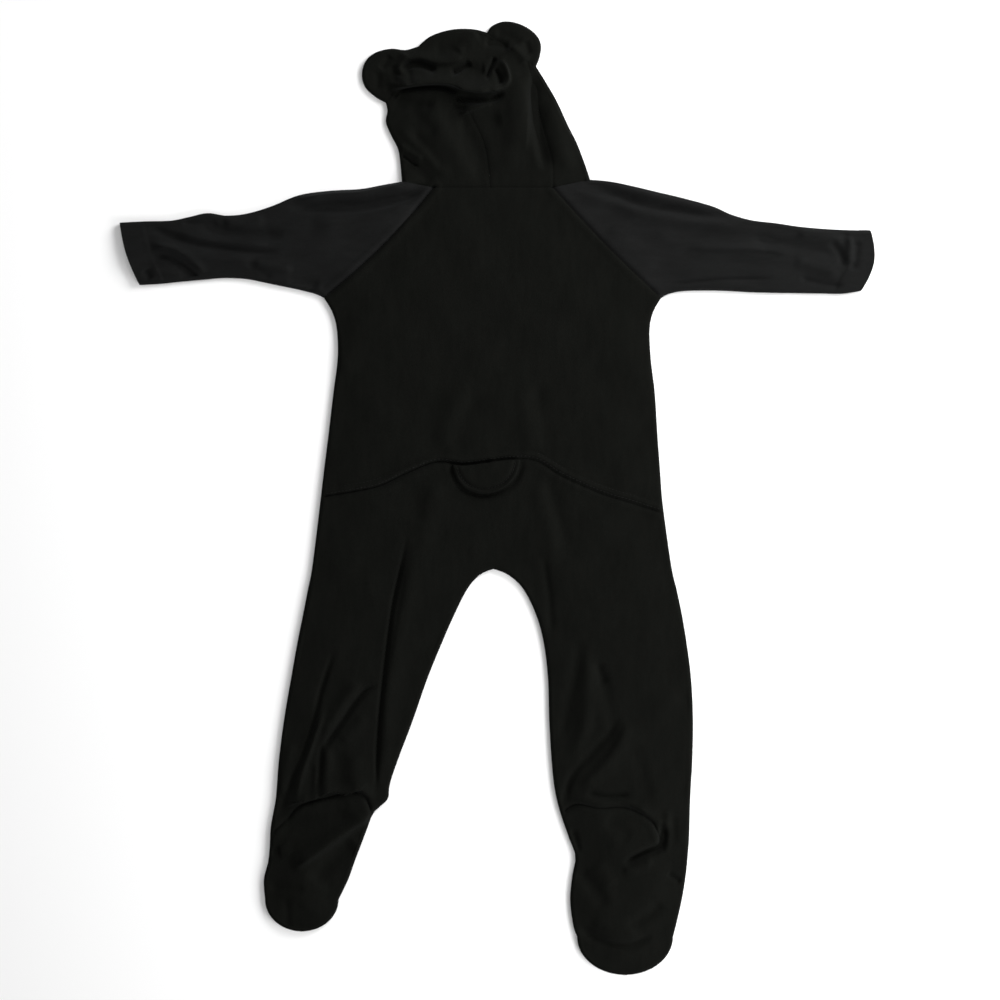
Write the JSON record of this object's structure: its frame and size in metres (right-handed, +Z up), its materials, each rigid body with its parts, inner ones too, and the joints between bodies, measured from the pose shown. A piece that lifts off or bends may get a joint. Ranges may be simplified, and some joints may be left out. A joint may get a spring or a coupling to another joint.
{
  "type": "hooded footed romper",
  "caption": "Baby's black jersey romper with feet, an eared hood, raglan sleeves and a small round tail flap, lying face down with its back showing.",
  "frame": {"origin": "middle of the garment's outline, on the surface that it lies on", "axes": "+Y from the feet to the hood, +Z up out of the back of the garment, +X to the right seen from above"},
  "size_m": [0.6481, 0.8193, 0.0163],
  "materials": {
    "jersey": "brushed jersey, matt black",
    "sleeve_jersey": "brushed jersey, matt black, a little lighter",
    "stud": "satin black"
  },
  "bodies": {
    "root": {"back_body": "jersey", "seat_and_legs": "jersey", "sole_left": "jersey", "sole_right": "jersey", "sleeve_left": "sleeve_jersey", "sleeve_right": "sleeve_jersey", "hood_middle": "jersey", "hood_side_left": "jersey", "hood_side_right": "jersey", "ear_left_back": "jersey", "ear_left_front": "jersey", "ear_right_back": "jersey", "ear_right_front": "jersey", "tail_under": "jersey", "tail_outer": "jersey", "front_left": "jersey", "front_right": "jersey", "placket": "jersey", "stud_1": "stud", "stud_2": "stud", "stud_3": "stud", "stud_4": "stud", "stud_5": "stud", "stud_6": "stud", "stud_7": "stud", "stud_8": "stud"}
  },
  "joints": []
}
